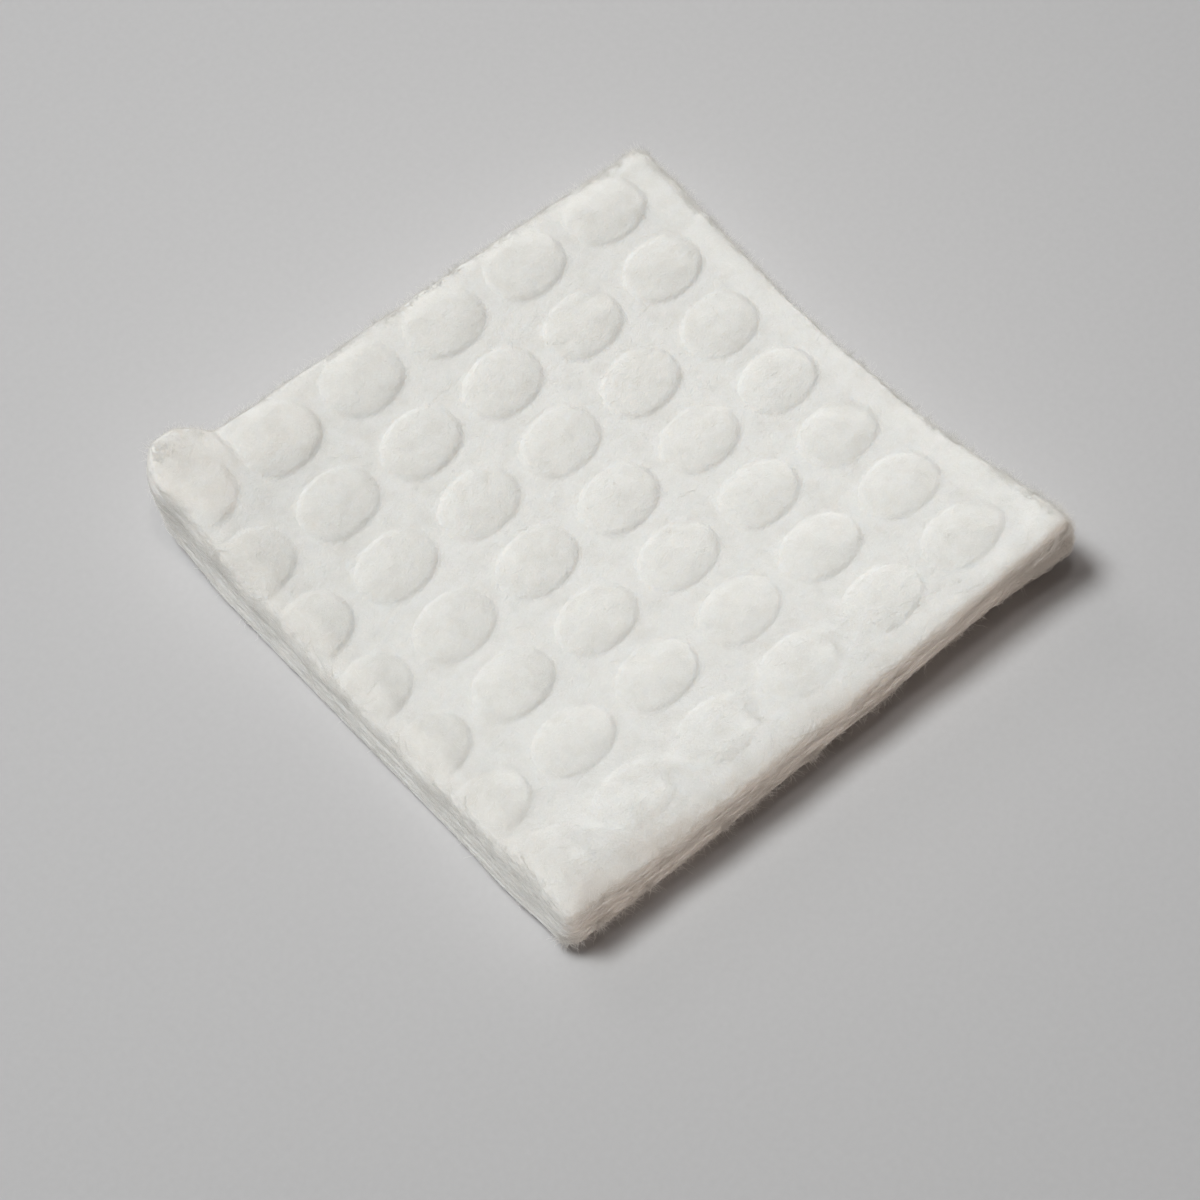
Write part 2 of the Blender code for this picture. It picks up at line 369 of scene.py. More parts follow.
# how far the face stands above the flat top at a place
def faceRelief(x, y):
    column, row, middleX, middleY = pillowMiddle(x, y)
    radius = pillowRadius(x, y, middleX, middleY)
    fromEdge = min(halfX - abs(x), halfY - abs(y))
    bare, full = pillows["rollOff"]
    roll = math.sin(math.pi / 2 * clamp((fromEdge - bare) / full))
    roll *= 1 - lobeShare(x) * ease(4.4 * mm, 2.6 * mm, halfY - y)
    kept = keptShare(x, y)
    amount = 1 + pillows["uneven"] * grain(column, row, 0, 0.37, 5.1)
    flankShare = pillows["flank"] + pillows["softFlank"] * (1 - kept)
    height = pillows["height"] * amount * kept * roll * pillowHeight(radius, flankShare)
    inside = ease(1.0, 0.8, radius)
    broad, small = pillows["lumpSizes"]
    mottle = 0.8 * grain(x, y, 0, broad, 3.3) + 0.5 * grain(x, y, 0, small, 9.0)
    height += pillows["lumps"] * inside * mottle
    height += pad["faceNoise"] * grain(x, y, 0, 2.6 * mm, 1.2)
    return height + foldRelief(x, y) + rimRelief(x, y, pad["thickness"])


# 1 along the tuft at the -X +Y corner, 0 past its end
def lobeShare(x):
    return ease(1.5 * mm, -2.6 * mm, x + halfX - edges["lobeLength"])


# the lip, the rounded shoulders, the lumps of the soft rim and the lobe, less of them further down
def rimRelief(x, y, z):
    depth = clamp(z / pad["thickness"])
    fromEdge = min(halfX - abs(x), halfY - abs(y))
    lip = ease(edges["lipFoot"], edges["lipTop"], halfX - x)
    lip *= 0.8 + 0.3 * grain(0, y, 0, 5 * mm, 2.0)
    lumps = ease(3 * mm, 0.5 * mm, fromEdge) * pad["rimLumps"] * grain(x, y, 0, 3.5 * mm, 6.1)
    relief = edges["lipHeight"] * lip + lumps
    near, right = ease(-6 * mm, -24 * mm, x), ease(-2 * mm, 20 * mm, x)
    relief -= shoulderDrop(y + halfY, edges["shoulderNear"]) * near
    relief -= shoulderDrop(y + halfY, edges["shoulderMiddle"]) * (1 - near) * (1 - right)
    relief -= shoulderDrop(y + halfY, edges["shoulderRight"]) * right
    relief -= shoulderDrop(halfX - x, edges["shoulderPlusX"])
    relief -= shoulderDrop(halfY - y, edges["shoulderPlusY"])
    relief -= shoulderDrop(x + halfX, edges["shoulderMinusX"])
    seam = x + halfX - edges["lobeLength"] - 0.15 * (halfY - y)
    atLobe = ease(5 * mm, 2 * mm, halfY - y)
    swell = ease(0.8 * mm, -1.2 * mm, seam) * ease(-0.5 * mm, 1.2 * mm, x + halfX)
    relief += atLobe * (edges["lobeHeight"] * swell - bell(edges["lobeSeam"], seam))
    return relief * depth


# how far a web's edge stands out past its place
def raggedEdge(x, y, z, web):
    depth = z / pad["thickness"]
    strands = pad["strands"] * grain(x, y, 9 * z, 3.2 * mm, 6.6) * ease(0.95, 0.75, depth)
    atMinusX, atMinusY = ease(2 * mm, 0, x + halfX), ease(2 * mm, 0, y + halfY)
    spread = atMinusX * pad["spreadMinusX"] * ease(34 * mm, 18 * mm, abs(y))
    spread += atMinusX * bell(pad["spreadNear"], y)
    drawn = 0.5 * ease(-22 * mm, 4 * mm, x) + 0.5 * ease(4 * mm, 22 * mm, x)
    spread -= atMinusY * pad["undercut"] * drawn
    strands += spread * (1 - depth)
    if web == 0:
        slow, quick = grain(x, y, 0, 3.6 * mm, 8.4), grain(x, y, z, 1.3 * mm, 2.2)
        return strands + pad["rimRagged"] * (slow + 0.25 * quick)
    if web == -1:
        gape = pad["gape"] * ease(8 * mm, 27 * mm, x - y - halfY)
        strands -= gape * (0.7 + 0.6 * grain(x, y, z, 2 * mm, 1.4))
    slow = grain(x, y, 0, 6.0 * mm, 11.0 + 3.7 * max(web, 0))
    quick = grain(x, y, z * 3, 1.3 * mm, 2.9 + max(web, 0))
    return strands + pad["webRagged"] * (0.7 * slow + 0.5 * quick)


# how much painted shade darkens the face's rounded shoulders at a place, from 0 to 1
def paintedShadeAt(x, y):
    fromNear = y + halfY + paintedShade["wander"] * grain(x, y, 0, 3 * mm, 5.9)
    fromLeft = x + halfX + paintedShade["wander"] * grain(x, y, 0, 3 * mm, 2.9)
    near = ease(*paintedShade["near"], fromNear) * (0.5 + 0.5 * ease(*paintedShade["nearX"], x))
    corner = paintedShade["weaker"] * ease(*paintedShade["corner"], fromNear) * ease(*paintedShade["cornerX"], x)
    left = paintedShade["weaker"] * ease(*paintedShade["left"], fromLeft) * ease(*paintedShade["leftEnd"], halfY - y)
    return max(near, corner, left)


# bows the edges and pulls the corners, and splays the webs at two of them
def unevenPlan(x, y, depth):
    across, along = x / halfX, y / halfY
    atPlusX = cornerShare((1, 0), across, 0, 12) * 2**12
    atMinusX = cornerShare((-1, 0), across, 0, 12) * 2**12
    atMinusY = cornerShare((0, -1), 0, along, 12) * 2**12
    middleX, middleY = 1 - across**2, 1 - along**2
    drift = pillows["drift"] / pillows["columnPitch"] * (halfX - pillows["firstColumn"] - x)
    inside = ease(0, 6 * mm, halfY - abs(y))
    moveX = cornerMix(pad["pullX"], across, along, 1) * (1 - inside)
    moveY = cornerMix(pad["pullY"], across, along, 1) * (1 - inside) - drift * inside
    moveX += pad["bowMinusX"] * atMinusX * middleY
    moveX += (pad["growPlusX"] - pad["bowPlusX"] * middleY) * atPlusX
    moveY -= pad["bowMinusY"] * atMinusY * middleX
    for side, (flareX, flareY, reach) in pad["flare"].items():
        fromX, fromY = max(0, halfX - side[0] * x), max(0, halfY - side[1] * y)
        splay = (1 - clamp(depth)) ** 0.7
        moveX += flareX * splay * clamp(1 - fromX / (5 * mm)) * clamp(1 - fromY / reach) ** 1.6
        moveY += flareY * splay * clamp(1 - fromY / (5 * mm)) * clamp(1 - fromX / reach) ** 1.6
    atLobe = clamp(1 - (halfY - y) / (5 * mm), 0, 1.1) ** 1.6 * ease(0.1, 0.6, depth)
    moveY += edges["lobe"] * lobeShare(x) * atLobe * (0.6 + 0.4 * ease(0, 3.5 * mm, x + halfX))
    aside = ease(5.5 * mm, 1 * mm, halfY - y) * ease(0.2, 0.7, depth)
    moveX -= edges["lobeAside"] * atMinusX * aside
    return x + moveX, y + moveY


# height of a flat place once the pad has curled
def settled(x, y, z):
    across, along = x / halfX, y / halfY
    past = clamp((abs(along) - pad["flatShare"]) / (1 - pad["flatShare"]), 0, 1.2)
    low = pad["liftY"] * past**2 + past * cornerMix(pad["cornerLift"], across, along, 4)
    high = pad["thickness"] + pad["curlX"] * across**2 + pad["curlY"] * along**2
    high += cornerMix(pad["cornerRise"], across, along, 4)
    return low + z / pad["thickness"] * (high - low)


def meshFrom(name, bm):
    mesh = bpy.data.meshes.new(name)
    bm.to_mesh(mesh)
    return mesh


# a number for a point, edge or face of the flat pad that no other one has
def sweepNumber(part):
    verts = part.verts if hasattr(part, "verts") else [part]
    return sum(sorted(vert.co.x + math.pi * vert.co.y + math.e * vert.co.z for vert in verts))


# a fixed order for the parts, but for the first ones, which keep their places
def sortParts(parts, kept=0):
    parts.index_update()
    parts.sort(key=lambda part: part.index if part.index < kept else kept + 1 + sweepNumber(part))
    parts.index_update()


# the flat pad: a grid for the face, the side grown down from its rim, and a grid underneath
def flatPad():
    startX, startY = halfX - pillows["firstColumn"], halfY - pillows["firstRow"]
    linesX = latticeLines(-gridX, gridX, startX, pillows["columnPitch"])
    linesY = latticeLines(-gridY, gridY, startY, pillows["rowPitch"])
    stepsX, stepsY = len(linesX) - 1, len(linesY) - 1

    bm = bmesh.new()
    rowOf = bm.verts.layers.int.new("row")
    webOf = bm.verts.layers.int.new("web")
    gridI = bm.verts.layers.int.new("gridI")
    gridJ = bm.verts.layers.int.new("gridJ")
    outX = bm.verts.layers.float.new("outX")
    outY = bm.verts.layers.float.new("outY")
    bmesh.ops.create_grid(bm, x_segments=stepsX, y_segments=stepsY, size=1)
    for vert in bm.verts:
        vert[gridI] = round((vert.co.x + 1) / 2 * stepsX)
        vert[gridJ] = round((vert.co.y + 1) / 2 * stepsY)
        x, y = gatherRound(linesX[vert[gridI]], linesY[vert[gridJ]])
        vert.co = (*roundCorner(x, y), pad["thickness"])

    # the side, row by row, from the rim of the face down to the underside
    border = [edge for edge in bm.edges if edge.is_boundary]
    for vert in {vert for edge in border for vert in edge.verts}:
        vert[outX], vert[outY] = outwardAt(vert.co.x, vert.co.y)
    previous = -pad["rimInset"]
    for number, (height, outset, web) in enumerate(sideProfile()):
        grown = bmesh.ops.extrude_edge_only(bm, edges=border)["geom"]
        grown = [part for part in grown if isinstance(part, bmesh.types.BMEdge)]
        border = [edge for edge in grown if edge.is_boundary]
        for vert in {vert for edge in border for vert in edge.verts}:
            vert.co.x += vert[outX] * (outset - previous)
            vert.co.y += vert[outY] * (outset - previous)
            vert.co.z = height
            vert[rowOf] = number + 1
            vert[webOf] = web
        previous = outset

    # the underside is a grid at half the fineness, welded to every second point of the last row
    rim = {vert for edge in border for vert in edge.verts}
    bmesh.ops.dissolve_verts(bm, verts=[vert for vert in rim if vert[gridI] % 2 or vert[gridJ] % 2])
    rimAt = {(vert[gridI], vert[gridJ]): vert for vert in rim if vert.is_valid}
    under = bmesh.ops.create_grid(bm, x_segments=stepsX // 2, y_segments=stepsY // 2, size=1)
    for vert in under["verts"]:
        i = 2 * round((vert.co.x + 1) / 2 * stepsX / 2)
        j = 2 * round((vert.co.y + 1) / 2 * stepsY / 2)
        twin = rimAt.get((i, j))
        vert[rowOf] = -1
        vert.co = (*roundCorner(linesX[i], linesY[j]), 0)
        if twin:
            vert.co = twin.co
            for layer in (rowOf, webOf, outX, outY):
                vert[layer] = twin[layer]
    bmesh.ops.remove_doubles(bm, verts=bm.verts, dist=1e-7)
    bmesh.ops.recalc_face_normals(bm, faces=bm.faces)

    # Extrude and dissolve leave an order that differs between runs. So the faces with more than
    # four corners start at their first one, and everything but the face's grid is sorted.
    for face in [face for face in bm.faces if len(face.verts) > 4]:
        corners = list(face.verts)
        first = corners.index(min(corners, key=sweepNumber))
        bm.faces.remove(face)
        bm.faces.new(corners[first:] + corners[:first])
    sortParts(bm.verts)
    sortParts(bm.edges)
    sortParts(bm.faces, stepsX * stepsY)
    mesh = meshFrom("flatPad", bm)
    bm.free()
    return mesh


# the flat pad once it has curled, with the face's relief and the webs' uneven edges
def buildPad():
    flatMesh = flatPad()
    bm = bmesh.new()
    bm.from_mesh(flatMesh)
    bpy.data.meshes.remove(flatMesh)
    flatPlace = bm.verts.layers.float_vector.new("flatPlace")
    wall = bm.verts.layers.float.new("wall")
    pillowShade = bm.verts.layers.float.new("pillowShade")
    paintedShoulderShade = bm.verts.layers.float.new("paintedShoulderShade")
    rowOf, webOf = bm.verts.layers.int["row"], bm.verts.layers.int["web"]
    outX, outY = bm.verts.layers.float["outX"], bm.verts.layers.float["outY"]
    for vert in bm.verts:
        flat = vert.co.copy()
        vert[flatPlace] = flat
        if vert[rowOf] != 0:
            vert[wall] = ease(pad["thickness"], pad["thickness"] - 1.2 * mm, flat.z)
        lift = 0.0
        if vert[rowOf] == 0:
            lift = faceRelief(flat.x, flat.y)
            column, row, middleX, middleY = pillowMiddle(flat.x, flat.y)
            radius = pillowRadius(flat.x, flat.y, middleX, middleY)
            # painted shade inside each pillow, less where it is rubbed away
            shade = ease(pillows["shadeFrom"], pillows["shadeTo"], radius)
            vert[pillowShade] = shade * keptShare(flat.x, flat.y)
        # painted shade on the face's rounded shoulders, none on the walls
        if vert[rowOf] >= 0:
            vert[paintedShoulderShade] = paintedShadeAt(flat.x, flat.y) * (1 - vert[wall])
        if vert[rowOf] > 0:
            ragged = raggedEdge(flat.x, flat.y, flat.z, vert[webOf])
            ragged *= clamp((pad["thickness"] - flat.z) / pad["rimDrop"]) ** 0.5
            lift = rimRelief(flat.x, flat.y, flat.z)
            layerFloor = pad["thickness"] - pad["topLayer"]
            lift += foldRelief(flat.x, flat.y) * ease(layerFloor, pad["thickness"], flat.z)
            flat.x += vert[outX] * ragged
            flat.y += vert[outY] * ragged
        x, y = unevenPlan(flat.x, flat.y, flat.z / pad["thickness"])
        vert.co = (x, y, settled(x, y, flat.z) + lift)
    bmesh.ops.translate(bm, vec=(*pad["shift"], 0), verts=bm.verts)

    # the unevenness of carded cotton, along each point's normal
    bm.normal_update()
    moves = []
    for vert in bm.verts:
        x, y, z = vert.co
        fine = pad["cardedNoise"] * grain(x, y, z, 0.55 * mm, 1.7)
        atRim = ease(1.6 * mm, 0.4 * mm, min(halfX - abs(x), halfY - abs(y)))
        atRim *= ease(2 * mm, 3.5 * mm, z) * ease(5 * mm, 9 * mm, math.hypot(x + halfX, y - halfY))
        fine += atRim * pad["rimNoise"] * grain(x, y, z, 0.9 * mm, 3.1)
        if vert[rowOf] > 0:
            fine += pad["wallNoise"] * grain(x, y, 4 * z, 1.1 * mm, 5.5)
        moves.append(vert.normal * fine)
    for vert, move in zip(bm.verts, moves):
        vert.co += move
        vert.co.z = max(vert.co.z, 0.0)
    return bm


def triangleCount(mesh):
    return sum(len(face.vertices) - 2 for face in mesh.polygons)


def addPiece(name, mesh):
    mesh.shade_smooth()
    piece = bpy.data.objects.new(name, mesh)
    bpy.context.scene.collection.objects.link(piece)
    print(name, triangleCount(mesh), "triangles")
    return piece


padMesh = buildPad()
cottonPad = addPiece("cottonPad", meshFrom("cottonPad", padMesh))
surface = BVHTree.FromBMesh(padMesh)
padMesh.free()

# Loose fibres. Each kind grows from its own part of the pad. Lengths are a smallest and a largest
# number of mm, and lifts too, before the lift power makes most of them low. Wander is how much a
# fibre turns from step to step.
fibres = {
    "faceFuzz": {"count": 4800, "points": 4, "radius": 0.012 * mm, "length": (0.5, 2.0),
                 "lift": (0.01, 0.14), "wander": 0.7},
    "farFuzz": {"count": 7000, "points": 4, "radius": 0.012 * mm, "length": (0.4, 1.2),
                "lift": (0.05, 0.45), "wander": 0.9},
    "nearFuzz": {"count": 3400, "points": 4, "radius": 0.011 * mm, "length": (0.4, 1.0),
                 "lift": (0.02, 0.2), "wander": 0.9},
    "sideStrands": {"count": 4600, "points": 5, "radius": 0.02 * mm, "length": (1.5, 6.0),
                    "lift": (0.01, 0.25), "wander": 0.25},
    "lowWhiskers": {"count": 2400, "points": 7, "radius": 0.02 * mm, "length": (0.5, 1.5),
                    "lift": (0.1, 0.4), "wander": 2.8},
    "cornerSplay": {"count": 900, "points": 6, "radius": 0.024 * mm, "length": (2.0, 6.0),
                    "lift": (0.05, 0.8), "wander": 0.35},
    "underFuzz": {"count": 500, "points": 4, "radius": 0.011 * mm, "length": (0.8, 2.5),
                  "lift": (0.005, 0.04), "wander": 0.6},
}
growth = {
    "seed": 11,
    "scatter": 0.08 * mm,  # how far off the cotton's surface a fibre may start
    "lowest": 0.04 * mm,
    "liftPower": 1.5,
    "fresh": 0.35,  # share of the wander that is new at each step
    "thinEnd": 0.45,  # thickness of a fibre's tip, where its root is 1
}
rng = np.random.default_rng(growth["seed"])


def faceData(mesh):
    count = len(mesh.polygons)
    centres, normals, areas = np.empty(count * 3), np.empty(count * 3), np.empty(count)
    mesh.polygons.foreach_get("center", centres)
    mesh.polygons.foreach_get("normal", normals)
    mesh.polygons.foreach_get("area", areas)
    return centres.reshape(-1, 3), normals.reshape(-1, 3), areas


centres, normals, areas = faceData(cottonPad.data)
flatX, flatY = centres[:, 0] - pad["shift"][0], centres[:, 1] - pad["shift"][1]
fromEdge = np.minimum(halfX - np.abs(flatX), halfY - np.abs(flatY))
clumps = np.array([0.1 + max(0, 0.6 + grain(*place, 1.6 * mm, 4.4)) ** 2 for place in centres])


def smoothStep(low, high, value):
    t = np.clip((value - low) / (high - low), 0, 1)
    return t * t * (3 - 2 * t)


# how likely a fibre of that kind is on each face of the pad
def likelihood(kind):
    up, height = normals[:, 2], centres[:, 2]
    side = np.abs(up) < 0.75
    if kind == "faceFuzz":
        return (up > 0.6) * (0.5 + 1.5 * smoothStep(-14 * mm, -26 * mm, flatY))
    if kind == "farFuzz":
        far = 1.0 * (flatX > halfX - 0.8 * mm) + (flatY > halfY - 0.8 * mm)
        far *= 1 - 0.6 * smoothStep(11 * mm, 7 * mm, np.hypot(flatX + halfX, flatY - halfY))
        return (fromEdge < 0.8 * mm) * (height > 3.9 * mm) * (up > 0.3) * far * (0.7 + clumps)
    if kind == "nearFuzz":
        return (fromEdge < 0.7 * mm) * (up > 0.3) * (height > 2.8 * mm) * clumps
    if kind == "sideStrands":
        return (np.abs(up) < 0.5) * (height > 0.1 * mm) * 1.0
    if kind == "lowWhiskers":
        low = smoothStep(2.0 * mm, 0.9 * mm, height - 1.3 * mm * (flatY < -halfY + 2 * mm))
        near = 0.3 + 3.0 * (flatY < -halfY + 2 * mm)
        near *= smoothStep(4 * mm, 14 * mm, np.hypot(flatX - halfX, flatY + halfY))
        return side * low * near * clumps**2
    if kind == "cornerSplay":
        reach = np.hypot(flatX - halfX, flatY + halfY)
        facing = (height < 6.5 * mm) * (normals[:, 1] < -0.3)
        return side * facing * smoothStep(10 * mm, 1 * mm, reach)
    return (up < -0.6) * 1.0


def unit(vectors):
    return vectors / np.maximum(np.linalg.norm(vectors, axis=1, keepdims=True), 1e-9)


# start points and first directions for one kind of fibre
def plantFibres(kind, count):
    chance = likelihood(kind) * areas
    picked = rng.choice(len(areas), count, p=chance / chance.sum())
    start = centres[picked] + rng.normal(0, growth["scatter"], (count, 3))
    start[:, 2] = np.maximum(start[:, 2], growth["lowest"])
    outward = np.where((halfX - np.abs(flatX[picked]) < halfY - np.abs(flatY[picked]))[:, None],
                       np.stack([np.sign(flatX[picked]), 0 * flatX[picked], 0 * flatX[picked]], 1),
                       np.stack([0 * flatX[picked], np.sign(flatY[picked]), 0 * flatX[picked]], 1))
    along = np.cross(outward, np.array([0, 0, 1.0])) * rng.choice([-1, 1], (count, 1))
    anyWay = unit(rng.normal(size=(count, 3)))
    if kind in ("faceFuzz", "underFuzz"):
        heading = anyWay * np.array([1, 1, 0.1])
    elif kind in ("farFuzz", "nearFuzz"):
        heading = 0.55 * outward + 0.7 * anyWay + 0.3 * along + np.array([0, 0, 0.15])
    elif kind == "sideStrands":
        heading = along + 0.12 * anyWay
    elif kind == "lowWhiskers":
        heading = 0.15 * outward + 0.7 * anyWay - np.array([0, 0, 0.25]) + 0.8 * along
    else:
        onPlusX = np.abs(outward[:, :1]) > 0.5
        toCorner = np.where(onPlusX, np.array([[0, -1.0, 0]]), np.array([[1.0, 0, 0]]))
        heading = toCorner + 0.15 * outward + 0.3 * anyWay
    return start, unit(heading)


# the points of every fibre of one kind
def growFibres(kind):
    words = fibres[kind]
    count, steps = words["count"], words["points"] - 1
    place, heading = plantFibres(kind, count)
    length = rng.uniform(*words["length"], (count, 1)) * mm
    tallest = rng.uniform(*words["lift"], (count, 1)) ** growth["liftPower"] * mm
    bend = unit(rng.normal(size=(count, 3))) * words["wander"]
    clings = kind in ("faceFuzz", "underFuzz", "sideStrands", "cornerSplay")
    paths = [place]
    for step in range(1, steps + 1):
        fresh = rng.normal(0, growth["fresh"] * words["wander"], (count, 3))
        heading = unit(heading + bend + fresh)
        place = place + heading * length / steps
        share = step / steps
        rise = np.sin(math.pi * share * 0.9) if clings else share**1.3
        settledPlace = place.copy()
        for index in range(count):
            near, normal, face, distance = surface.find_nearest(Vector(place[index]))
            off = Vector(place[index]) - near
            wanted = rise * tallest[index, 0]
            if clings or off.dot(normal) < wanted:
                settledPlace[index] = near + normal * wanted
        settledPlace[:, 2] = np.maximum(settledPlace[:, 2], 2 * words["radius"])
        place = settledPlace
        paths.append(place)
    return np.stack(paths, 1)


# a three-sided ring that the fibres' curves are swept with
def fibreProfile(radius):
    curve = bpy.data.curves.new("fibreProfile", "CURVE")
    ring = curve.splines.new("POLY")
    ring.points.add(2)
    for number, point in enumerate(ring.points):
        angle = 2 * math.pi * number / 3
        point.co = (radius * math.cos(angle), radius * math.sin(angle), 0, 1)
    ring.use_cyclic_u = True
    return bpy.data.objects.new("fibreProfile", curve)


# one curve object for all the fibres of a kind, made a mesh
def fibreMesh(name, paths, radius):
    profile = fibreProfile(radius)
    bpy.context.scene.collection.objects.link(profile)
    curve = bpy.data.curves.new(name, "CURVE")
    curve.dimensions = "3D"
    curve.bevel_mode = "OBJECT"
    curve.bevel_object = profile
    curve.use_fill_caps = True
    taper = np.linspace(1.0, growth["thinEnd"], paths.shape[1])
    for path in paths:
        spline = curve.splines.new("POLY")
        spline.points.add(len(path) - 1)
        spline.points.foreach_set("co", np.c_[path, np.ones(len(path))].ravel())
        spline.points.foreach_set("radius", taper)
    holder = bpy.data.objects.new(name, curve)
    bpy.context.scene.collection.objects.link(holder)
    bpy.context.view_layer.update()
    swept = holder.evaluated_get(bpy.context.evaluated_depsgraph_get())
    mesh = bpy.data.meshes.new_from_object(swept)
    for helper in (holder, profile):
        shape = helper.data
        bpy.data.objects.remove(helper)
        bpy.data.curves.remove(shape)
    mesh.name = name
    return mesh


fibrePieces = []
for kind, words in fibres.items():
    fibrePieces.append(addPiece(kind, fibreMesh(kind, growFibres(kind), words["radius"])))


# Materials
def newMaterial(name):
    material = bpy.data.materials.new(name)
    material.use_nodes = True
    nodes = material.node_tree.nodes
    return material, nodes, material.node_tree.links, nodes["Principled BSDF"]


cotton = {
    "light": (0.945, 0.935, 0.915, 1),
    "dark": (0.885, 0.873, 0.85, 1),
    "feltDark": (0.9, 0.897, 0.89, 1),
    # painted shade inside the pillows
    "pillowShadeTint": (0.976, 0.974, 0.968, 1),
    "patchDull": (0.94, 0.935, 0.926, 1),
    "shoulderShadeTint": (0.86, 0.845, 0.828, 1),  # painted shade on the face's rounded shoulders along the -Y and -X edges
    # painted shade in the hollows between the strands on the sides
    "strandDark": (0.74, 0.725, 0.695, 1),
    "fibre": (0.96, 0.95, 0.93, 1),
    "roughness": 1.0,
    "shine": 0.1,
    "fibreRoughness": 0.8,
    "fibreShine": 0.3,
    "scatterShare": 0.5,
    "scatter": 1.3 * mm,
    "scatterColours": (1.0, 0.9, 0.8),
    "feltScale": 5600,  # lumps to a metre
    "cloudScale": 1500,
    "patchScale": 480,
    "strandScale": (150, 150, 8500),  # along the pad's sides and up them
    "feltHeight": 0.15 * mm,
    "cloudHeight": 0.18 * mm,
    "strandHeight": 0.08 * mm,
    "strandShade": (0.55, 0.35),  # the noise values between which a strand goes dark: painted shade in the hollows between the strands, where their bump is low
    "strandBend": 0.4,
    "patchEdge": (0.45, 0.75),
    "bumpStrength": 0.5,
    "throughShare": 0.45,  # how much of the light goes through a loose fibre
}


def tintNode(nodes, links, fac, first, second):
    node = nodes.new("ShaderNodeMix")
    node.data_type = "RGBA"
    node.blend_type = "MULTIPLY"
    node.inputs["B"].default_value = second
    links.new(fac, node.inputs["Factor"])
    links.new(first, node.inputs["A"])
    return node.outputs["Result"]


def noiseNode(nodes, scale, detail):
    node = nodes.new("ShaderNodeTexNoise")
    node.inputs["Scale"].default_value = scale
    node.inputs["Detail"].default_value = detail
    return node


def rangeNode(nodes, limits):
    node = nodes.new("ShaderNodeMapRange")
    node.inputs["From Min"].default_value, node.inputs["From Max"].default_value = limits
    return node


def attributeNode(nodes, name):
    node = nodes.new("ShaderNodeAttribute")
    node.attribute_name = name
    return node


def bumpNode(nodes, strength, distance):
    node = nodes.new("ShaderNodeBump")
    node.inputs["Strength"].default_value = strength
    node.inputs["Distance"].default_value = distance
    return node


